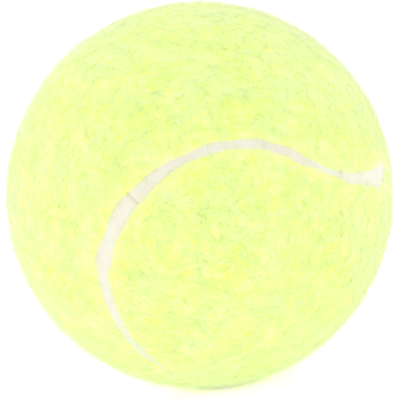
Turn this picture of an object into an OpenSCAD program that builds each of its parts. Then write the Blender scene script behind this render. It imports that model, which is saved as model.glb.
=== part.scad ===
// Pressurised tennis ball: two moulded rubber cups cemented into a hollow core, two dog-bone
// felt blanks bonded over it, and the seam compound cured between the edges of the blanks.
// The origin is the centre of the ball and +Z is up, as the ball lies on its rest point.

/* [Ball] */
// Outside diameter over the nap of the felt
ball_d = 67; // [65.4:0.1:68.6]
// How far the seam lies below the nap
seam_recess = 0.6; // [0.3:0.1:1]

/* [Core] */
// Wall of each half cup
core_wall = 3.3; // [2.8:0.1:4]
// Cured cement between the rims of the two cups
rim_cement = 0.2; // [0.1:0.05:0.4]
// Radius of the bead that squeezes out of the rim joint on the inside
rim_bead_r = 0.6; // [0.3:0.1:1]

/* [Felt] */
// Thickness of each felt blank, ground cloth and nap together
felt_t = 3.25; // [2.6:0.05:3.8]
// Cured cement between the core and each felt blank
panel_cement = 0.25; // [0.1:0.05:0.4]
// Width of the seam between the cut edges of the blanks
seam_w = 2; // [1.4:0.1:3]
// How far in from its cut edge the nap of a blank rounds over
nap_round = 1.2; // [0.6:0.1:1.8]
// Share of the seam's curl, which sets how narrow the waist of each blank is
seam_curl_share = 0.22; // [0.18:0.01:0.26]

/* [Lie] */
// Angle that the seam is turned about X, made first
lie_x_deg = 11; // [-180:1:180]
// Angle that the seam is turned about Y, made second
lie_y_deg = 56; // [-180:1:180]
// Angle that the seam is turned about Z, made last
lie_z_deg = -122; // [-180:1:180]

/* [Hidden] */
$fn = 128;

ball_r = ball_d / 2;
felt_r = ball_r - felt_t;
core_r = felt_r - panel_cement;
bore_r = core_r - core_wall;
seam_r = ball_r - seam_recess;

// Stations round the seam: a multiple of 8, so that each has a mirror across the blank
stations = 120;
// The edge of a blank above the seam, as shares of seam_recess and of nap_round: the cut edge
// stands straight for the first share and then leans back under the nap
nap_edge_shares = [[0.25, 0], [0.7, 0.25], [1.5, 1.3]];
// Radius of the open end of the cutting wedge, as a share of the ball's radius
wedge_reach_share = 2;

// Middle line of the seam on a sphere of radius 1, at the angle t
function seam_point(t) =
    let (curl = seam_curl_share)
    [
        (1 - curl) * cos(t) + curl * cos(3 * t),
        (1 - curl) * sin(t) - curl * sin(3 * t),
        2 * sqrt(curl * (1 - curl)) * sin(2 * t)
    ];

// Direction of the seam at the angle t
function seam_heading(t) =
    let (curl = seam_curl_share)
    [
        -(1 - curl) * sin(t) - 3 * curl * sin(3 * t),
        (1 - curl) * cos(t) - 3 * curl * cos(3 * t),
        4 * sqrt(curl * (1 - curl)) * cos(2 * t)
    ];

function unit(v) = v / norm(v);

// A point at the radius r, set in from the middle line by a length measured on the ball's surface
function edge_point(t, r, inset) =
    let (
        p = seam_point(t),
        inward = unit(cross(p, seam_heading(t))),
        turn = inset / ball_r * 180 / PI
    )
    r * (cos(turn) * p + sin(turn) * inward);

function edge_ring(r, inset) =
    [for (i = [0 : stations - 1]) edge_point(360 * i / stations, r, inset)];

// Wedge from the centre of the ball through one blank, with the rounded edge of its nap
module blank_wedge() {
    half_seam = seam_w / 2;
    last_share = nap_edge_shares[len(nap_edge_shares) - 1];
    outer_inset = half_seam + last_share[1] * nap_round;
    rings = [
        for (s = nap_edge_shares)
            edge_ring(seam_r + s[0] * seam_recess, half_seam + s[1] * nap_round),
        edge_ring(wedge_reach_share * ball_r, outer_inset)
    ];
    last = len(rings) - 1;
    points = [[0, 0, 0], for (ring = rings) each ring];
    half = stations / 2;
    tip = stations * 7 / 8;
    function at(ring, i) = 1 + ring * stations + (i + 2 * stations) % stations;
    cone_faces = [for (i = [0 : stations - 1]) [0, at(0, i), at(0, i + 1)]];
    wall_faces = [
        for (k = [0 : last - 1], i = [0 : stations - 1])
            each [
                [at(k, i), at(k + 1, i), at(k, i + 1)],
                [at(k, i + 1), at(k + 1, i), at(k + 1, i + 1)]
            ]
    ];
    // The open end is closed by rungs between the mirrored stations of the two long sides
    end_faces = [
        [at(last, tip), at(last, tip - 1), at(last, tip + 1)],
        for (j = [1 : half - 2])
            [at(last, tip + j), at(last, tip - j), at(last, tip - j - 1), at(last, tip + j + 1)],
        [at(last, tip + half - 1), at(last, tip - half + 1), at(last, tip + half)]
    ];
    polyhedron(points = points, faces = concat(cone_faces, wall_faces, end_faces), convexity = 6);
}

module shell(r_out, r_in) {
    difference() {
        sphere(r = r_out);
        sphere(r = r_in);
    }
}

module lie() {
    rotate([lie_x_deg, lie_y_deg, lie_z_deg]) children();
}

// The second blank is the first, turned over
module turned_over() {
    rotate([180, 0, 0]) children();
}

module blank_layer(r_out, r_in) {
    intersection() {
        shell(r_out, r_in);
        blank_wedge();
    }
}

module cup() {
    difference() {
        shell(core_r, bore_r);
        translate([0, 0, rim_cement / 2 - ball_d])
            cube(2 * ball_d, center = true);
    }
}

module core_cup_a() {
    color("#3b3733") lie() cup();
}

module core_cup_b() {
    color("#3b3733") lie() turned_over() cup();
}

module core_joint_cement() {
    color("#8a7446") lie() {
        intersection() {
            shell(core_r, bore_r);
            cube([2 * ball_d, 2 * ball_d, rim_cement], center = true);
        }
        intersection() {
            rotate_extrude() translate([bore_r, 0]) circle(r = rim_bead_r);
            sphere(r = bore_r);
        }
    }
}

module panel_cement_a() {
    color("#c9b98f") lie() blank_layer(felt_r, core_r);
}

module panel_cement_b() {
    color("#c9b98f") lie() turned_over() blank_layer(felt_r, core_r);
}

module felt_panel_a() {
    color("#e4f57c") lie() blank_layer(ball_r, felt_r);
}

module felt_panel_b() {
    color("#e4f57c") lie() turned_over() blank_layer(ball_r, felt_r);
}

module seam_rubber() {
    color("#f2eee2") lie() difference() {
        shell(seam_r, core_r);
        blank_wedge();
        turned_over() blank_wedge();
    }
}

core_cup_a();
core_cup_b();
core_joint_cement();
panel_cement_a();
panel_cement_b();
felt_panel_a();
felt_panel_b();
seam_rubber();
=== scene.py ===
"""Dresses a tennis ball: the rubber and cement of its core, the cream seam, the two felt blanks
with their nap, and a plain white stage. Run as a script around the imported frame."""

import math

import bmesh
import bpy
from mathutils import Matrix, Vector, noise
from mathutils.kdtree import KDTree


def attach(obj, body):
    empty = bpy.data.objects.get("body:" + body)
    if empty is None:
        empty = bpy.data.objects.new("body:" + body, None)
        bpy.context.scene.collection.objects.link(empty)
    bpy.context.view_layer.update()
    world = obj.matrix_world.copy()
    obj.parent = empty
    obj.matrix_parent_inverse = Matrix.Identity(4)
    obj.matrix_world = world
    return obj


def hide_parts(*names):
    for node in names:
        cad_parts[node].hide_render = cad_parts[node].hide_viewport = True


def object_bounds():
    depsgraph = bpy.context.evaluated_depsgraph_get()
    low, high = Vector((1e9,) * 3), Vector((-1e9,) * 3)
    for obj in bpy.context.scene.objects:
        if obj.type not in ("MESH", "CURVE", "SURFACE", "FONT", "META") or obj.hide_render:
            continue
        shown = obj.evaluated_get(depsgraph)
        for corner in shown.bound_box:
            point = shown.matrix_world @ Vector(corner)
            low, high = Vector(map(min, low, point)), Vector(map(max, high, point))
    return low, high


bl_info = {
    "name": "Tennis ball finish",
    "version": (1, 0, 0),
    "blender": (4, 5, 0),
    "location": "View3D > Sidebar > Ball",
    "description": "Models the felt, nap and seam of a tennis ball around its solid core",
    "category": "Object",
}

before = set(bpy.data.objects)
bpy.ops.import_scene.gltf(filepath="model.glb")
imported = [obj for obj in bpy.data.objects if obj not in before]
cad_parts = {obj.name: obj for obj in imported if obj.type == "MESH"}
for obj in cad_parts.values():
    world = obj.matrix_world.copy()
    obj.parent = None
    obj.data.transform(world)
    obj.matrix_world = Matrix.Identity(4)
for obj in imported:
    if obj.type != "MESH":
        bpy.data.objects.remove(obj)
CAD_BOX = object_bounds()
MM = 0.001
FLOOR_Z = CAD_BOX[0].z
# The fibres' own map, under the name that the export bakes through
BAKE_MAP = "OFBake"
PHOTO_SIDE_PX = 400
# Turns of the seam about X, Y and Z, in degrees, as the ball lies
LIE_DEG = (11, 56, -122)
# The blanks' letters, and the side of the seam that each lies on
BLANKS = (("a", 1), ("b", -1))


def node_radius(node):
    """Largest distance of a CAD node from the origin, in metres."""
    return max(v.co.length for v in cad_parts[node].data.vertices)


def node_bore(node):
    """Least distance of a CAD node from the origin, in metres."""
    return min(v.co.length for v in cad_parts[node].data.vertices)


BALL_R = node_radius("felt_panel_a")
FELT_BACK_R = node_bore("felt_panel_a")
CORE_R = node_bore("seam_rubber")
SEAM_TOP_R = node_radius("seam_rubber")

# The stretch of the seam that is listed one by one: the angle along the seam in degrees, and the width
# that the blanks leave open there in millimetres
LAID_WIDTHS = (
    (-14, 1.7), (-7, 0.3), (3, 0.15), (6, 1.2), (10, 1.6), (14, 1.4), (20, 1.85), (27, 2.0),
    (30, 3.1), (34, 2.2), (40, 3.0), (43.6, 2.8), (44.4, 2.5), (50, 2.1), (54, 1.6), (58, 1.3),
    (61.5, 1.8), (66, 1.25), (70.5, 1.65), (74, 1.45), (79, 1.8), (83, 0.85), (88, 0.9),
    (93, 2.0), (96.5, 2.5), (100, 2.9), (102, 4.5), (103.6, 5.3), (105, 0.5), (106.5, 0.3),
    (110, 0.3), (118, 1.7),
)
# The same angle, and how far the seam strays from its true line there, in millimetres
LAID_STRAYS = (
    (-8, 0.3), (3, -0.5), (8, 0.0), (13, 0.45), (17, 0.55), (22, 0.9), (27, 1.35), (30, 1.2),
    (36, 0.65), (43, 0.5), (45, 0.15), (50, 0.25), (57, 0.4), (64, 0.8), (71, 0.8), (76, 0.1),
    (81, -1.05), (86, -1.4), (91, -1.1), (95, 0.1), (96.5, 0.5), (98.5, 1.3), (100, 1.8),
    (102, 2.7), (103.6, 3.9), (105, 4.4), (110, 3.4), (115, 1.6), (121, 0),
)


def smooth_between(keys, t):
    """The value of the keys at the angle t, eased between neighbours, or None past their ends."""
    for (t0, v0), (t1, v1) in zip(keys, keys[1:]):
        if t0 <= t <= t1:
            ease = 0.5 - 0.5 * math.cos(math.pi * (t - t0) / (t1 - t0))
            return v0 + (v1 - v0) * ease
    return None


class BallSizes(bpy.types.PropertyGroup):
    """Sizes that a user would change."""

    curl_share: bpy.props.FloatProperty(
        name="Seam curl", description="Share of the seam's curl", default=0.22, min=0.18, max=0.26
    )
    lie: bpy.props.FloatVectorProperty(
        name="Lie", description="Turns of the seam about X, Y and Z",
        default=[math.radians(a) for a in LIE_DEG], subtype="EULER", unit="ROTATION",
    )
    seam_width: bpy.props.FloatProperty(
        name="Seam width", description="Mean width of the seam past its hand-laid stretch",
        default=1.9 * MM, unit="LENGTH",
    )
    seam_tuck: bpy.props.FloatProperty(
        name="Seam tuck", description="How far the seam runs under each blank's edge",
        default=0.2 * MM, unit="LENGTH",
    )
    nap_height: bpy.props.FloatProperty(
        name="Nap height", description="Height of the loose nap over the matted felt",
        default=0.4 * MM, unit="LENGTH",
    )
    edge_round: bpy.props.FloatProperty(
        name="Edge round", description="How far in from its edge a blank rounds over",
        default=1.5 * MM, unit="LENGTH",
    )
    strand_length: bpy.props.FloatProperty(
        name="Fibre length", description="Mean length of a loose fibre",
        default=2.6 * MM, unit="LENGTH",
    )
    strand_radius: bpy.props.FloatProperty(
        name="Fibre radius", description="Radius of a loose fibre at its root",
        default=0.027 * MM, unit="LENGTH", precision=5,
    )
    strands_per_mm2: bpy.props.FloatProperty(
        name="Fibre count", description="Loose fibres on each square millimetre", default=5
    )


class BallColours(bpy.types.PropertyGroup):
    """Colours that a user would change."""

    # The felt's deep tone, also laid low in the nap and in the felt's hollows as painted shade
    felt_deep_and_painted_shade: bpy.props.FloatVectorProperty(
        name="Deep felt", description="Felt between the tufts", subtype="COLOR", size=4,
        default=(0.88, 1.0, 0.22, 1),
    )
    # The felt's pale tone, also laid on the tufts' tops and higher in the nap as painted light
    felt_pale_and_painted_light: bpy.props.FloatVectorProperty(
        name="Pale felt", description="Felt on top of its tufts", subtype="COLOR", size=4,
        default=(0.87, 1.0, 0.53, 1),
    )
    # Painted light: the pale colour of fibres that stand high and free, standing in for light that
    # passes through them
    felt_free_painted_light: bpy.props.FloatVectorProperty(
        name="Free felt", description="Tips of fibres that stand free", subtype="COLOR", size=4,
        default=(0.90, 1.0, 0.90, 1),
    )
    seam_cream: bpy.props.FloatVectorProperty(
        name="Cream seam", description="Seam compound where it is clean", subtype="COLOR", size=4,
        default=(0.79, 0.775, 0.675, 1),
    )
    seam_grey: bpy.props.FloatVectorProperty(
        name="Grey seam", description="Seam compound where it is handled", subtype="COLOR", size=4,
        default=(0.765, 0.71, 0.60, 1),
    )
    core_dark: bpy.props.FloatVectorProperty(
        name="Core rubber", description="Moulded rubber of the core", subtype="COLOR", size=4,
        default=(0.045, 0.040, 0.035, 1),
    )
    cement_tan: bpy.props.FloatVectorProperty(
        name="Cement", description="Cured rubber cement", subtype="COLOR", size=4,
        default=(0.55, 0.45, 0.24, 1),
    )


class StageSettings(bpy.types.PropertyGroup):
    """The camera and the light."""

    distance_share: bpy.props.FloatProperty(
        name="Camera distance", description="Camera distance, in radii of the ball", default=20
    )
    elevation: bpy.props.FloatProperty(
        name="Elevation", description="Camera's angle above the floor",
        default=math.radians(8), unit="ROTATION",
    )
    roll: bpy.props.FloatProperty(
        name="Roll", description="Turn of the picture, as the floor rises to the right",
        default=math.radians(8.5), unit="ROTATION",
    )
    outline_px: bpy.props.FloatVectorProperty(
        name="Outline", description="Centre and radius of the ball in the picture, in pixels",
        size=3, default=(199.9, 194.8, 194.0),
    )
    sky: bpy.props.FloatProperty(
        name="Sky", description="Strength of the even light", default=1.12
    )


def user_settings():
    """The groups of sizes, colours and stage settings."""
    scene = bpy.context.scene
    return scene.ball_sizes, scene.ball_colours, scene.ball_stage


class Wire:
    """A node's output, so that maths on it is written as Python."""

    def __init__(self, maker, socket):
        self.maker = maker
        self.socket = socket

    def other(self, name):
        """Another output of the same node."""
        return Wire(self.maker, self.maker.find(self.socket.node.outputs, name))

    def _math(self, operation, first, second):
        return self.maker.node(
            "ShaderNodeMath", {"operation": operation}, {0: first, 1: second}
        )

    def __add__(self, other):
        return self._math("ADD", self, other)

    def __radd__(self, other):
        return self._math("ADD", other, self)

    def __sub__(self, other):
        return self._math("SUBTRACT", self, other)

    def __rsub__(self, other):
        return self._math("SUBTRACT", other, self)

    def __mul__(self, other):
        return self._math("MULTIPLY", self, other)

    def __rmul__(self, other):
        return self._math("MULTIPLY", other, self)

    def __pow__(self, other):
        return self._math("POWER", self, other)


class NodeMaker:
    """Adds nodes to a tree."""

    def __init__(self, tree):
        self.tree = tree

    def node(self, kind, settings=None, sockets=None, out=0):
        """A node of a type, with its settings made first and then what its sockets hold.

        Returns the wire of one output, or None where the node has no output.
        """
        made = self.tree.nodes.new(kind)
        for name, value in (settings or {}).items():
            if name == "stops":
                self.put_stops(made.color_ramp, value)
            else:
                setattr(made, name, value)
        for name, value in (sockets or {}).items():
            self.put(self.find(made.inputs, name), value)
        return Wire(self, self.find(made.outputs, out)) if made.outputs else None

    def put(self, socket, value):
        """Links a wire to a socket, or sets the socket to a plain value."""
        if isinstance(value, Wire):
            self.tree.links.new(value.socket, socket)
        else:
            socket.default_value = value

    @staticmethod
    def put_stops(ramp, stops):
        """Gives a colour ramp its stops."""
        while len(ramp.elements) < len(stops):
            ramp.elements.new(0.5)
        for element, (position, colour) in zip(ramp.elements, stops):
            element.position = position
            element.color = colour

    @staticmethod
    def find(sockets, name):
        """The socket of a number, or the one of a name that the node's settings leave in use."""
        if isinstance(name, int):
            return sockets[name]
        return next(s for s in sockets if s.name == name and s.enabled)


class Finish(NodeMaker):
    """A Principled material, with its constants set on the shader's own sockets."""

    def __init__(self, name, **constants):
        self.material = bpy.data.materials.new(name)
        self.material.use_nodes = True
        super().__init__(self.material.node_tree)
        self.tree.nodes.clear()
        self.shader = self.tree.nodes.new("ShaderNodeBsdfPrincipled")
        output = self.tree.nodes.new("ShaderNodeOutputMaterial")
        self.tree.links.new(self.shader.outputs[0], output.inputs["Surface"])
        for socket, value in constants.items():
            self.shader.inputs[socket.replace("_", " ")].default_value = value

    def feed(self, **wires):
        """Links what changes over the surface to the shader."""
        for socket, wire in wires.items():
            self.put(self.shader.inputs[socket.replace("_", " ")], wire)

    def place(self):
        """The piece's own coordinates."""
        return self.node("ShaderNodeTexCoord", out="Object")

    def noise(self, scale, detail=3.0, distortion=0.0, vector=None):
        """Soft noise from 0 to 1, with about as many hills to the metre as its scale."""
        return self.node(
            "ShaderNodeTexNoise", {},
            {"Vector": vector or self.place(), "Scale": scale, "Detail": detail,
             "Distortion": distortion},
        )

    def ramp(self, factor, stops):
        return self.node("ShaderNodeValToRGB", {"stops": stops}, {0: factor})

    def bump(self, height, strength, distance):
        return self.node(
            "ShaderNodeBump", {}, {"Height": height, "Strength": strength, "Distance": distance}
        )


class SeamLine:
    """The seam's middle line on the ball, with its width and its stray from the true line."""

    # Samples round the whole seam
    SAMPLES = 2880
    # Angles past this one are counted back from the full turn, below 0
    COUNTED_BACK = 300
    # Share of the width that each waver adds, and how many times it comes round the ball
    WAVERS = ((0.16, 7), (0.12, 17))
    # Stray of the seam past its listed stretch, and how many times it comes round the ball
    FREE_STRAY = 0.35 * MM
    FREE_STRAY_TIMES = 5

    def __init__(self, sizes):
        self.sizes = sizes
        self.turn = sizes.lie.to_matrix()
        self.points = [self.turn @ self.point(self.angle(i)) for i in range(self.SAMPLES)]
        self.sides = [
            p.cross(self.turn @ self.heading(self.angle(i))).normalized()
            for i, p in enumerate(self.points)
        ]
        self.widths = [self.width(self.angle(i)) for i in range(self.SAMPLES)]
        self.strays = [self.stray(self.angle(i)) for i in range(self.SAMPLES)]
        self.tree = KDTree(self.SAMPLES)
        for i, p in enumerate(self.points):
            self.tree.insert(p, i)
        self.tree.balance()

    def angle(self, i):
        """The angle of a sample, in degrees."""
        return 360 * i / self.SAMPLES

    def point(self, t):
        """The middle line on a sphere of radius 1, before the ball is turned to its lie."""
        curl, t = self.sizes.curl_share, math.radians(t)
        return Vector((
            (1 - curl) * math.cos(t) + curl * math.cos(3 * t),
            (1 - curl) * math.sin(t) - curl * math.sin(3 * t),
            2 * math.sqrt(curl * (1 - curl)) * math.sin(2 * t),
        ))

    def heading(self, t):
        """The direction in which the middle line runs, before the ball is turned to its lie."""
        curl, t = self.sizes.curl_share, math.radians(t)
        return Vector((
            -(1 - curl) * math.sin(t) - 3 * curl * math.sin(3 * t),
            (1 - curl) * math.cos(t) - 3 * curl * math.cos(3 * t),
            4 * math.sqrt(curl * (1 - curl)) * math.cos(2 * t),
        ))

    def hand_laid(self, keys, t):
        """The value of the keys at the angle t, in metres, or None past the listed stretch."""
        value = smooth_between(keys, t if t < self.COUNTED_BACK else t - 360)
        return None if value is None else value * MM

    def width(self, t):
        """Width of the seam at the angle t: from its keys where it has them, wavering elsewhere."""
        laid = self.hand_laid(LAID_WIDTHS, t)
        if laid is not None:
            return laid
        waver = 1 + sum(share * math.sin(math.radians(n * t)) for share, n in self.WAVERS)
        return self.sizes.seam_width * waver

    def stray(self, t):
        """How far the laid middle line lies off the true one at the angle t."""
        laid = self.hand_laid(LAID_STRAYS, t)
        if laid is not None:
            return laid
        return self.FREE_STRAY * math.sin(math.radians(self.FREE_STRAY_TIMES * t))

    def locate(self, co):
        """Sample number nearest a point, and its distance across from the laid middle line."""
        way = co.normalized()
        _, i, _ = self.tree.find(way)
        across = math.asin(max(-1, min(1, way.dot(self.sides[i])))) * BALL_R
        return i, across - self.strays[i]

    def inset(self, co, side):
        """How far a point lies inside the edge of the blank on that side of the seam."""
        i, across = self.locate(co)
        return side * across - self.widths[i] / 2

    def on_line(self, i, across, radius):
        """The point at a distance across from the laid middle line, at a radius."""
        turn = (across + self.strays[i]) / BALL_R
        way = math.cos(turn) * self.points[i] + math.sin(turn) * self.sides[i]
        return way.normalized() * radius


def mesh_of(name, bm):
    """Turns a bmesh into a mesh, and lets the bmesh go."""
    mesh = bpy.data.meshes.new(name)
    bm.to_mesh(mesh)
    bm.free()
    return mesh


def linked(name, data):
    """A new object in the scene."""
    made = bpy.data.objects.new(name, data)
    bpy.context.scene.collection.objects.link(made)
    return made


def new_piece(name, mesh, finish):
    """A smooth piece of one finish that rides on the ball's only body."""
    piece = linked(name, mesh)
    mesh.materials.clear()
    mesh.materials.append(finish)
    mesh.shade_smooth()
    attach(piece, "root")
    return piece


def hollow_shell(bm, radius):
    """Gives an open skin a back at a radius, and a rim between them."""
    skin = bm.faces[:]
    made = bmesh.ops.extrude_face_region(bm, geom=skin, use_keep_orig=True)
    for item in made["geom"]:
        if isinstance(item, bmesh.types.BMVert):
            item.co = item.co.normalized() * radius
    bmesh.ops.recalc_face_normals(bm, faces=bm.faces[:])


def unevenness(co, pitch):
    """A rough field from about -1 to 1, with hills about a pitch apart and finer layers on them."""
    weakening = 0.7
    refining = 2.1
    layers = 3
    return noise.fractal(co * (2 / pitch), weakening, refining, layers)


def shaded(colour, share):
    """A colour made darker by a share below 1, or paler by one above it."""
    return [min(1, share * c) for c in colour[:3]] + [1]


def rubber_finish(colours):
    """Dull moulded rubber with the grain of a sand-blasted mould."""
    finish = Finish("core rubber", Roughness=0.8, Specular_IOR_Level=0.35)
    cloud = finish.noise(scale=140, detail=4)
    grain = finish.noise(scale=2600, detail=2)
    dark = shaded(colours.core_dark, 0.7)
    worn = shaded(colours.core_dark, 1.7)
    finish.feed(
        Base_Color=finish.ramp(cloud * 0.7 + grain * 0.3, [(0.3, dark), (0.7, worn)]),
        Roughness=0.68 + cloud * 0.25,
        Normal=finish.bump(grain, strength=0.4, distance=0.05 * MM),
    )
    return finish.material


def cement_finish(name, colours, shade):
    """Brushed rubber cement, cured to a thin uneven skin."""
    finish = Finish(name, Roughness=0.5, Specular_IOR_Level=0.5)
    stretched = finish.node(
        "ShaderNodeMapping", {}, {"Vector": finish.place(), "Scale": (1, 1, 0.25)}
    )
    brush = finish.noise(scale=900, vector=stretched)
    cloud = finish.noise(scale=180)
    thin = shaded(colours.cement_tan, shade * 0.8)
    thick = shaded(colours.cement_tan, shade * 1.25)
    finish.feed(
        Base_Color=finish.ramp(brush * 0.5 + cloud * 0.5, [(0.3, thin), (0.7, thick)]),
        Roughness=0.35 + brush * 0.3,
        Normal=finish.bump(brush, strength=0.5, distance=0.05 * MM),
    )
    return finish.material


def seam_finish(colours):
    """Matt cream compound, greyer in patches and fine-grained."""
    finish = Finish("seam compound", Roughness=0.7, Specular_IOR_Level=0.3)
    cloud = finish.noise(scale=95, detail=2)
    speck = finish.noise(scale=1500)
    tone = cloud * 0.85 + speck * 0.15
    finish.feed(
        Base_Color=finish.ramp(tone, [(0.38, colours.seam_grey), (0.56, colours.seam_cream)]),
        Roughness=0.6 + speck * 0.25,
        Normal=finish.bump(speck, strength=0.3, distance=0.05 * MM),
    )
    return finish.material


def felt_finish(colours):
    """Matted felt under the loose nap, mottled at random; its colour is also deeper in the hollows of
    its bump and paler on the tufts, as painted shade and light.
    """
    finish = Finish(
        "felt ground", Roughness=0.95, Specular_IOR_Level=0.1, Sheen_Weight=0.5,
        Sheen_Roughness=0.5, Sheen_Tint=(1, 1, 0.8, 1),
    )
    tuft = finish.noise(scale=700)
    fine = finish.noise(scale=2200, detail=4, distortion=3)
    patch = finish.noise(scale=130, detail=2)
    # The tuft and fine noises also make the bump, so the deep colour falls in its hollows: painted
    # shade
    tone = tuft * 0.45 + fine * 0.2 + patch * 0.35
    finish.feed(
        Base_Color=finish.ramp(tone, [(0.36, colours.felt_deep_and_painted_shade), (0.68, colours.felt_pale_and_painted_light)]),
        Normal=finish.bump(tuft * 0.3 + fine * 0.7, strength=0.25, distance=0.2 * MM),
    )
    return finish.material


def nap_finish(colours):
    """Loose fibres that let light through.

    Their map's u is a fibre's own shade, and its v is how free the fibre stands at that point; the
    colour pales with v, which paints light on the high, free fibres and shade low in the nap.
    """
    finish = Finish(
        "felt nap", Roughness=0.9, Specular_IOR_Level=0.15, Sheen_Weight=0.8,
        Sheen_Roughness=0.5, Sheen_Tint=(1, 1, 0.8, 1), Subsurface_Weight=1,
        Subsurface_Radius=(1, 1, 1), Subsurface_Scale=0.3 * MM,
    )
    held = finish.node("ShaderNodeUVMap", {"uv_map": BAKE_MAP})
    shade = finish.node("ShaderNodeSeparateXYZ", {}, {0: held}, "X")
    free = shade.other("Y")
    finish.feed(
        Base_Color=finish.ramp(
            shade * 0.5 + free * 0.5,
            [(0.18, colours.felt_deep_and_painted_shade), (0.6, colours.felt_pale_and_painted_light), (0.85, colours.felt_free_painted_light)],
        ),
    )
    return finish.material


class BALL_OT_core(bpy.types.Operator):
    """Finish the rubber cups of the core and the cement that joins them"""

    bl_idname = "ball.core"
    bl_label = "Core and cement"

    def execute(self, context):
        _, colours, _ = user_settings()
        rubber = rubber_finish(colours)
        finishes = {
            "core_cup_a": rubber,
            "core_cup_b": rubber,
            "core_joint_cement": cement_finish("joint cement", colours, shade=0.5),
            "panel_cement_a": cement_finish("panel cement a", colours, shade=1),
            "panel_cement_b": cement_finish("panel cement b", colours, shade=1),
        }
        for node, finish in finishes.items():
            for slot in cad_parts[node].material_slots:
                slot.material = finish
        return {"FINISHED"}


class BALL_OT_seam(bpy.types.Operator):
    """Model the seam as one closed band between the edges of the blanks"""

    bl_idname = "ball.seam"
    bl_label = "Seam"

    STATIONS = 2000
    ACROSS = 8
    # The band is as wide as the widest of this many samples to each side of it, so that it stays
    # under the felt where the seam's width changes fast
    LEEWAY = 14
    WELD = 0.001 * MM
    # How uneven the face is, how far apart its hills are, and how far it falls to its edges
    WAVER = 0.05 * MM
    WAVER_PITCH = 5 * MM
    DISH = 0.08 * MM
    # The fine fold across the seam: its angle along the seam and its half width, both in degrees,
    # and its depth
    CREASE_ANGLE = 44
    CREASE_HALF = 0.25
    CREASE_DEPTH = 0.45 * MM

    def execute(self, context):
        sizes, colours, _ = user_settings()
        line = SeamLine(sizes)
        near = range(-self.LEEWAY, self.LEEWAY + 1)
        widest = [
            max(line.widths[(i + k) % line.SAMPLES] for k in near) for i in range(line.SAMPLES)
        ]
        bm = bmesh.new()
        bmesh.ops.create_grid(
            bm, x_segments=self.STATIONS, y_segments=self.ACROSS, size=0.5
        )
        for v in bm.verts:
            i = round((v.co.x + 0.5) * line.SAMPLES) % line.SAMPLES
            across = v.co.y * (widest[i] + 2 * sizes.seam_tuck)
            v.co = line.on_line(i, across, self.top(line, i, v.co.y * 2))
        bmesh.ops.remove_doubles(bm, verts=bm.verts[:], dist=self.WELD)
        hollow_shell(bm, CORE_R)
        seam = new_piece("seam", mesh_of("seam", bm), seam_finish(colours))
        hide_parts("seam_rubber")
        return {"FINISHED"}

    def top(self, line, i, across_share):
        """Radius of the seam's face: uneven, a little lower along its edges, and creased."""
        waver = self.WAVER * unevenness(line.points[i] * BALL_R, self.WAVER_PITCH)
        dish = self.DISH * across_share ** 4
        off = (line.angle(i) - self.CREASE_ANGLE) / self.CREASE_HALF
        crease = self.CREASE_DEPTH * math.exp(-off * off)
        return SEAM_TOP_R + waver - dish - crease


class BALL_OT_felt(bpy.types.Operator):
    """Model the matted body of the two felt blanks"""

    bl_idname = "ball.felt"
    bl_label = "Felt blanks"

    SUBDIVISIONS = 7
    # The skin is cut finer from this far outside a blank's edge to this far inside it
    FINER_FROM = -0.8 * MM
    FINER_TO = 2 * MM
    # How high the clumps of the felt are, and how far apart
    CLUMPS = 0.1 * MM
    CLUMP_PITCH = 2.6 * MM
    # How far the cut edge lies under the seam's face
    EDGE_SINK = 0.1 * MM

    def execute(self, context):
        sizes, colours, _ = user_settings()
        line = SeamLine(sizes)
        finish = felt_finish(colours)
        for letter, side in BLANKS:
            self.blank(letter, side, line, finish)
        return {"FINISHED"}

    def blank(self, letter, side, line, finish):
        """One blank: the part of a ball on its side of the seam, with its edge laid on the line."""
        bm = bmesh.new()
        bmesh.ops.create_icosphere(bm, subdivisions=self.SUBDIVISIONS, radius=BALL_R)
        insets = {v: line.inset(v.co, side) for v in bm.verts}
        near = [
            e for e in bm.edges
            if all(self.FINER_FROM < insets[v] < self.FINER_TO for v in e.verts)
        ]
        bmesh.ops.subdivide_edges(bm, edges=near, cuts=1, use_grid_fill=True)
        insets = {v: line.inset(v.co, side) for v in bm.verts}
        outside = [f for f in bm.faces if sum(insets[v] > 0 for v in f.verts) < 2]
        bmesh.ops.delete(bm, geom=outside, context="FACES")
        bmesh.ops.triangulate(bm, faces=bm.faces[:])
        for v in bm.verts:
            if v.is_boundary:
                i, _ = line.locate(v.co)
                v.co = line.on_line(i, side * line.widths[i] / 2, BALL_R)
        for v in bm.verts:
            v.co = v.co.normalized() * self.height(line, v.co, side)
        hollow_shell(bm, FELT_BACK_R)
        name = f"felt_{letter}"
        felt = new_piece(name, mesh_of(name, bm), finish)
        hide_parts(f"felt_panel_{letter}")

    def height(self, line, co, side):
        """Radius of the matted felt: it falls to the seam at its edge and is clumped all over."""
        body = BALL_R - line.sizes.nap_height
        inset = max(0, line.inset(co, side))
        share = min(1, inset / line.sizes.edge_round)
        rise = math.sqrt(1 - (1 - share) ** 2)
        clumps = self.CLUMPS * unevenness(co, self.CLUMP_PITCH)
        edge = SEAM_TOP_R - self.EDGE_SINK
        return edge + (body - edge) * rise + clumps * share


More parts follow.
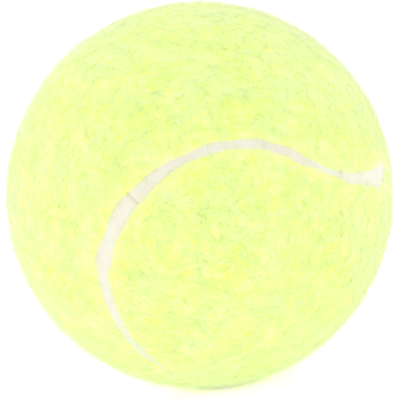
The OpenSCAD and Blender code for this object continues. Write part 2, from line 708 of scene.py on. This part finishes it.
class NapRecipe(NodeMaker):
    """Geometry nodes that root curly fibres on a skin, whose points hold their inset from the seam."""

    # Points along a fibre, and sides round it
    POINTS = 4
    SIDES = 3
    # Share of the radius that a fibre loses towards its tip
    TAPER = 0.65
    # How deep a fibre is rooted, and how high it arches over the felt
    ROOT_DEPTH = 0.12 * MM
    ARCH = 0.7 * MM
    # How far a tip may lift, how far it bounces, and the noise at which it bounces neither way
    LIFT = 1.5 * MM
    BOUNCE = 0.65 * MM
    BOUNCE_MIDDLE = 0.45
    # How far a tip curls on its own, and how far it drifts with its neighbours
    CURL = 4.2 * MM
    DRIFT = 3.0 * MM
    # Scales of the noises that these and the tufts' shades come from, in hills to the metre
    CURL_SCALE = 650
    DRIFT_SCALE = 210
    BOUNCE_SCALE = 500
    TUFT_SCALE = 600
    # A fibre curls by a place of its own on the noise's fourth axis, up to the first of these, and
    # bounces by a place that lies the second further on
    OWN_PLACES = 900
    BOUNCE_PLACE = 77
    # Share of its size that a fibre has at its blank's edge, and how much each metre inwards adds
    ROOM_AT_EDGE = 0.33
    ROOM_GROWTH = 0.45 / MM
    # Shortest and longest fibre, as shares of the mean
    SHORT = 0.6
    LONG = 1.4
    # A full turn, in radians
    FULL_TURN = 6.283
    # A fibre's shade: its least, how much its tuft adds, and how far it strays from its tuft's
    SHADE_LEAST = 0.05
    SHADE_RANGE = 0.9
    SHADE_STRAY = 0.2
    # How free a fibre stands is its height in metres times this; the nap's colour is painted paler
    # with it, as painted light
    FREE_GAIN = 1.1 / MM
    # Ends that a fibre's place on the map is held in, and how far its points stray from it there
    MAP_LOW = 0.02
    MAP_HIGH = 0.98
    MAP_JITTER = 0.01
    # The number that seeds each random draw, and how many such numbers a piece has to itself
    DRAWS = {"shade": 1, "lift": 2, "own": 3, "spin": 4, "length": 5, "jitter": 6}
    DRAW_NUMBERS = 20

    def __init__(self, sizes, finish, seed):
        super().__init__(bpy.data.node_groups.new("nap", "GeometryNodeTree"))
        self.sizes = sizes
        self.seed = seed
        for way in ("INPUT", "OUTPUT"):
            self.tree.interface.new_socket(
                "Geometry", in_out=way, socket_type="NodeSocketGeometry"
            )
        self.here = self.node("GeometryNodeInputPosition")
        skin = self.node("NodeGroupInput")
        strands = self.thickened(self.bent(self.laid(skin)))
        strands = self.node(
            "GeometryNodeSetMaterial", {}, {"Geometry": strands, "Material": finish}
        )
        self.node("NodeGroupOutput", {}, {0: strands})

    def vector(self, operation, *values, out=0):
        return self.node(
            "ShaderNodeVectorMath", {"operation": operation},
            {i: v for i, v in enumerate(values)}, out,
        )

    def scaled(self, wire, factor):
        return self.node(
            "ShaderNodeVectorMath", {"operation": "SCALE"}, {0: wire, "Scale": factor}
        )

    def chance(self, draw, low, high):
        """A random number for each point, from low to high."""
        return self.node(
            "FunctionNodeRandomValue", {"data_type": "FLOAT"},
            {"Min": low, "Max": high, "Seed": self.seed * self.DRAW_NUMBERS + self.DRAWS[draw]},
            "Value",
        )

    def held_in(self, value, low, high):
        return self.node("ShaderNodeClamp", {}, {"Value": value, "Min": low, "Max": high})

    def keep(self, geometry, name, value, kind="FLOAT", domain="POINT"):
        """Stores a value on the geometry under a name."""
        return self.node(
            "GeometryNodeStoreNamedAttribute", {"data_type": kind, "domain": domain},
            {"Geometry": geometry, "Name": name, "Value": value},
        )

    def kept(self, name):
        """The value that is stored under a name."""
        return self.node(
            "GeometryNodeInputNamedAttribute", {"data_type": "FLOAT"}, {"Name": name}, "Attribute"
        )

    def noise(self, scale, detail, w=None, out=0):
        """Noise at each point, with a place in a fourth dimension where one is given."""
        sockets = {"Vector": self.here, "Scale": scale, "Detail": detail}
        if w is None:
            return self.node("ShaderNodeTexNoise", {}, sockets, out)
        return self.node(
            "ShaderNodeTexNoise", {"noise_dimensions": "4D"}, {**sockets, "W": w}, out
        )

    def laid(self, skin):
        """Straight fibres, each laid flat at its root, turned at random and cut to its length."""
        roots = self.node(
            "GeometryNodeDistributePointsOnFaces", {"distribute_method": "RANDOM"},
            {"Mesh": skin, "Density": self.sizes.strands_per_mm2 / MM**2, "Seed": self.seed},
            "Points",
        )
        turned = roots.other("Rotation")
        shade = self.noise(self.TUFT_SCALE, detail=2) * self.SHADE_RANGE + self.SHADE_LEAST
        shade = shade + self.chance("shade", -self.SHADE_STRAY, self.SHADE_STRAY)
        room = self.ROOM_AT_EDGE + self.kept("inset") * self.ROOM_GROWTH
        roots = self.keep(roots, "root_r", self.vector("LENGTH", self.here, out="Value"))
        roots = self.keep(roots, "lift", self.chance("lift", 0, 1) ** 2)
        roots = self.keep(roots, "shade", self.held_in(shade, self.MAP_LOW, self.MAP_HIGH))
        roots = self.keep(roots, "own", self.chance("own", 0, self.OWN_PLACES))
        roots = self.keep(roots, "room", self.held_in(room, 0, 1))
        spin = self.node(
            "FunctionNodeAxisAngleToRotation", {},
            {"Axis": (0, 0, 1), "Angle": self.chance("spin", 0, self.FULL_TURN)},
        )
        spun = self.node(
            "FunctionNodeRotateRotation", {"rotation_space": "LOCAL"},
            {"Rotation": turned, "Rotate By": spin},
        )
        line = self.node(
            "GeometryNodeCurvePrimitiveLine", {"mode": "POINTS"},
            {"Start": (0, 0, 0), "End": (self.sizes.strand_length, 0, 0)},
        )
        line = self.node(
            "GeometryNodeResampleCurve", {}, {"Curve": line, "Count": self.POINTS}
        )
        fibres = self.node(
            "GeometryNodeInstanceOnPoints", {},
            {"Points": roots, "Instance": line, "Rotation": spun,
             "Scale": self.kept("room") * self.chance("length", self.SHORT, self.LONG)},
        )
        return self.node("GeometryNodeRealizeInstances", {}, {"Geometry": fibres})

    def bent(self, curves):
        """The fibres curled sideways along the ball, and then put at their heights over it."""
        along = self.node("GeometryNodeSplineParameter", out="Factor")
        own = self.kept("own")
        half = (0.5, 0.5, 0.5)
        wander = self.noise(self.CURL_SCALE, detail=1, w=own, out="Color")
        sway = self.noise(self.DRIFT_SCALE, detail=0, out="Color")
        bounce = self.noise(self.BOUNCE_SCALE, detail=0, w=own + self.BOUNCE_PLACE)
        freedom = along * self.kept("room")
        curl = self.scaled(self.vector("SUBTRACT", wander, half), freedom * self.CURL)
        drift = self.scaled(self.vector("SUBTRACT", sway, half), freedom * self.DRIFT)
        way = self.vector("ADD", self.here, self.vector("ADD", curl, drift))
        lift = along * self.kept("lift") * self.LIFT
        proud = lift + along * (bounce - self.BOUNCE_MIDDLE) * self.BOUNCE
        rise = along * (1.0 - along) * self.ARCH + proud
        radius = self.kept("root_r") - self.ROOT_DEPTH + rise
        curves = self.node(
            "GeometryNodeSetPosition", {},
            {"Geometry": curves,
             "Position": self.scaled(self.vector("NORMALIZE", way), radius)},
        )
        curves = self.keep(curves, "along", along)
        # How free each point stands, from its height: the nap's colour is painted paler by it, as
        # painted light
        free = self.held_in(rise * self.FREE_GAIN, self.MAP_LOW, self.MAP_HIGH)
        return self.keep(curves, "free", free)

    def thickened(self, curves):
        """The fibres as tapered tubes, with a map on which the jitter gives each face an area."""
        profile = self.node(
            "GeometryNodeCurvePrimitiveCircle", {"mode": "RADIUS"},
            {"Resolution": self.SIDES, "Radius": 1.0},
        )
        radius = self.sizes.strand_radius * (1.0 - self.kept("along") * self.TAPER)
        strands = self.node(
            "GeometryNodeCurveToMesh", {},
            {"Curve": curves, "Profile Curve": profile, "Fill Caps": True, "Scale": radius},
        )
        jitter = self.chance("jitter", -self.MAP_JITTER, self.MAP_JITTER)
        strands = self.keep(strands, "jitter", jitter)
        on_map = self.node(
            "ShaderNodeCombineXYZ", {},
            {"X": self.kept("shade") + self.kept("jitter"), "Y": self.kept("free")},
        )
        return self.keep(strands, BAKE_MAP, on_map, "FLOAT2", "CORNER")


class BALL_OT_nap(bpy.types.Operator):
    """Root the loose nap on the felt blanks, in sectors"""

    bl_idname = "ball.nap"
    bl_label = "Nap"

    SECTORS = 5
    # How many seeds a blank has to itself
    BLANK_SEEDS = 10
    # Angles that a blank covers across its lobes and along its length
    BLANK_WIDTH = math.radians(90)
    BLANK_LENGTH = math.radians(292)
    # Half of the seam's length on the ball's face, and the width that it leaves between the blanks
    HALF_SEAM = 163 * MM
    SEAM_GAP = 2 * MM

    def execute(self, context):
        sizes, colours, _ = user_settings()
        line = SeamLine(sizes)
        finish = nap_finish(colours)
        for letter, side in BLANKS:
            felt = bpy.data.objects[f"felt_{letter}"]
            napped = []
            for k in range(self.SECTORS):
                strands = self.strands(
                    self.skin(felt, side, k, line),
                    NapRecipe(sizes, finish, ord(letter) * self.BLANK_SEEDS + k),
                )
                napped.append(new_piece(f"nap_{letter}_{k + 1}", strands, finish))
            self.declare(felt, letter, napped)
        return {"FINISHED"}

    def skin(self, felt, side, k, line):
        """The outer faces of one sector of a blank, whose points hold their inset."""
        bm = bmesh.new()
        bm.from_mesh(felt.data)
        inset = bm.verts.layers.float.new("inset")
        for v in bm.verts:
            v[inset] = line.inset(v.co, side)
        middle = line.turn @ Vector((0, 0, side))
        long_way = line.turn @ Vector((1, -side, 0)).normalized()
        inside_r = 0.5 * (FELT_BACK_R + SEAM_TOP_R)

        def left_out(face):
            co = face.calc_center_median()
            share = math.atan2(co.dot(long_way), co.dot(middle)) / self.BLANK_LENGTH + 0.5
            sector = min(self.SECTORS - 1, max(0, int(share * self.SECTORS)))
            return co.length < inside_r or sector != k

        gone = [f for f in bm.faces if left_out(f)]
        bmesh.ops.delete(bm, geom=gone, context="FACES")
        return mesh_of("nap skin", bm)

    def strands(self, skin, recipe):
        """The mesh of the fibres that the recipe roots on a skin."""
        bearer = linked("nap skin", skin)
        bearer.modifiers.new("nap", "NODES").node_group = recipe.tree
        shown = bearer.evaluated_get(bpy.context.evaluated_depsgraph_get())
        strands = bpy.data.meshes.new_from_object(shown)
        bpy.data.objects.remove(bearer)
        return strands

    def declare(self, felt, letter, napped):
        """Takes no step: the blank and its nap stay as they are."""


class BALL_OT_stage(bpy.types.Operator):
    """Set the floor, the light and the camera"""

    bl_idname = "ball.stage"
    bl_label = "Stage"

    # Bounces that light needs to find its way through the nap
    DIFFUSE_BOUNCES = 12
    FLOOR_R = 4
    FLOOR_SIDES = 96
    # The floor's white and its glow, as it lights the ball and as it is seen
    LIGHTING_WHITE = 0.5
    LIGHTING_GLOW = 0.73
    SEEN_WHITE = 0.85
    SEEN_GLOW = 0.6
    # Painted contact shadow: round the ball's contact the floor keeps this share of its glow, out to
    # the first distance, and it has all of it past the second
    PAINTED_SHADOW_SHARE = 0.45
    PAINTED_SHADOW_NEAR = 3 * MM
    PAINTED_SHADOW_FAR = 9.5 * MM
    # Strength at which the room behind the ball is seen as white
    ROOM_WHITE = 1.0
    # Each lamp's name, place and power, and the width of both
    LAMPS = (("key", (-1.1, 0.3, 0.65), 2.4), ("fill", (1.05, 0.35, 0.75), 1.4))
    LAMP_WIDTH = 0.5
    # The camera's sensor, in millimetres, and how far the camera sees
    SENSOR = 36
    CAMERA_REACH = 10

    def execute(self, context):
        _, _, stage = user_settings()
        scene = context.scene
        scene.view_settings.view_transform = "Standard"
        scene.cycles.diffuse_bounces = self.DIFFUSE_BOUNCES
        self.floor()
        self.world(scene, stage)
        for name, place, power in self.LAMPS:
            self.lamp(name, place, power)
        self.camera(scene, stage)
        return {"FINISHED"}

    def seen_ray(self, make):
        """1 for rays that show the stage, 0 for those that light the ball."""
        camera = make.node("ShaderNodeLightPath", out="Is Camera Ray")
        seen = camera
        for name in ("Is Glossy Ray", "Is Transmission Ray"):
            seen = make.node(
                "ShaderNodeMath", {"operation": "MAXIMUM"}, {0: seen, 1: camera.other(name)}
            )
        return seen

    def white_sheet(self, make, colour, glow):
        """Matt white that is also lit a little from behind."""
        matt = make.node("ShaderNodeBsdfDiffuse", {}, {"Color": (colour, colour, colour, 1)})
        lit = make.node("ShaderNodeEmission", {}, {"Color": (1, 1, 1, 1), "Strength": glow})
        return make.node("ShaderNodeAddShader", {}, {0: matt, 1: lit})

    def painted_contact_shadow(self, make):
        """A painted contact shadow: 1 on the open floor, and less close to the point where the ball
        touches it.
        """
        place = make.node("ShaderNodeTexCoord", out="Object")
        away = make.node(
            "ShaderNodeVectorMath", {"operation": "DISTANCE"}, {0: place, 1: (0, 0, FLOOR_Z)}, "Value"
        )
        return make.node(
            "ShaderNodeMapRange", {"interpolation_type": "SMOOTHSTEP"},
            {"Value": away, "From Min": self.PAINTED_SHADOW_NEAR, "From Max": self.PAINTED_SHADOW_FAR,
             "To Min": self.PAINTED_SHADOW_SHARE},
        )

    def floor(self):
        bm = bmesh.new()
        bmesh.ops.create_circle(
            bm, cap_ends=True, segments=self.FLOOR_SIDES, radius=self.FLOOR_R
        )
        bmesh.ops.translate(bm, verts=bm.verts[:], vec=(0, 0, FLOOR_Z))
        floor = linked("floor", mesh_of("floor", bm))
        floor.data.materials.append(self.floor_finish())

    def floor_finish(self):
        """White that lights the ball at one level, and is seen at another."""
        material = bpy.data.materials.new("white floor")
        material.use_nodes = True
        make = NodeMaker(material.node_tree)
        make.tree.nodes.clear()
        # The floor's glow is dimmed round the contact: a painted shadow
        share = self.painted_contact_shadow(make)
        lighting = self.white_sheet(make, self.LIGHTING_WHITE, self.LIGHTING_GLOW * share)
        seen = self.white_sheet(make, self.SEEN_WHITE, self.SEEN_GLOW * share)
        shown = make.node(
            "ShaderNodeMixShader", {}, {0: self.seen_ray(make), 1: lighting, 2: seen}
        )
        make.node("ShaderNodeOutputMaterial", {}, {"Surface": shown})
        return material

    def world(self, scene, stage):
        world = bpy.data.worlds.new("white room")
        world.use_nodes = True
        scene.world = world
        make = NodeMaker(world.node_tree)
        make.tree.nodes.clear()
        strength = make.node(
            "ShaderNodeMix", {"data_type": "FLOAT"},
            {"Factor": self.seen_ray(make), "A": stage.sky, "B": self.ROOM_WHITE}, "Result",
        )
        light = make.node(
            "ShaderNodeBackground", {}, {"Color": (1, 1, 1, 1), "Strength": strength}
        )
        make.node("ShaderNodeOutputWorld", {}, {"Surface": light})

    def lamp(self, name, place, power):
        """A round lamp that points at the ball."""
        light = bpy.data.lights.new(name, "AREA")
        light.shape = "DISK"
        light.size = self.LAMP_WIDTH
        light.energy = power
        lamp = linked(name, light)
        lamp.location = place
        lamp.rotation_euler = (-Vector(place)).to_track_quat("-Z", "Y").to_euler()

    def camera(self, scene, stage):
        """A camera in which the ball's outline has the centre and radius of the settings."""
        x_px, y_px, r_px = stage.outline_px
        distance = stage.distance_share * BALL_R
        focal_px = r_px * math.sqrt(stage.distance_share**2 - 1)
        data = bpy.data.cameras.new("camera")
        data.sensor_width = self.SENSOR
        data.lens = data.sensor_width * focal_px / PHOTO_SIDE_PX
        data.clip_end = self.CAMERA_REACH
        tilt = Matrix.Rotation(math.pi / 2 - stage.elevation, 3, "X")
        turn = tilt @ Matrix.Rotation(-stage.roll, 3, "Z")
        off = Vector((
            (PHOTO_SIDE_PX / 2 - x_px) * distance / focal_px,
            (y_px - PHOTO_SIDE_PX / 2) * distance / focal_px,
            distance,
        ))
        camera = linked("camera", data)
        camera.matrix_world = Matrix.Translation(turn @ off) @ turn.to_4x4()
        scene.camera = camera


class BALL_PT_panel(bpy.types.Panel):
    """The ball's sizes, colours and steps"""

    bl_label = "Tennis ball"
    bl_idname = "BALL_PT_panel"
    bl_space_type = "VIEW_3D"
    bl_region_type = "UI"
    bl_category = "Ball"

    def draw(self, context):
        for group in user_settings():
            box = self.layout.box()
            for name in group.bl_rna.properties.keys():
                if name not in ("rna_type", "name"):
                    box.prop(group, name)
        for step in STEPS:
            self.layout.operator(step.bl_idname)


GROUPS = (BallSizes, BallColours, StageSettings)
STEPS = (BALL_OT_stage, BALL_OT_core, BALL_OT_seam, BALL_OT_felt, BALL_OT_nap)


def register():
    for cls in (*GROUPS, *STEPS, BALL_PT_panel):
        bpy.utils.register_class(cls)
    bpy.types.Scene.ball_sizes = bpy.props.PointerProperty(type=BallSizes)
    bpy.types.Scene.ball_colours = bpy.props.PointerProperty(type=BallColours)
    bpy.types.Scene.ball_stage = bpy.props.PointerProperty(type=StageSettings)


def unregister():
    del bpy.types.Scene.ball_sizes
    del bpy.types.Scene.ball_colours
    del bpy.types.Scene.ball_stage
    for cls in reversed((*GROUPS, *STEPS, BALL_PT_panel)):
        bpy.utils.unregister_class(cls)


def main():
    """Makes every piece."""
    register()
    bpy.ops.ball.stage()
    bpy.ops.ball.core()
    bpy.ops.ball.seam()
    bpy.ops.ball.felt()
    bpy.ops.ball.nap()


if __name__ == "__main__":
    main()
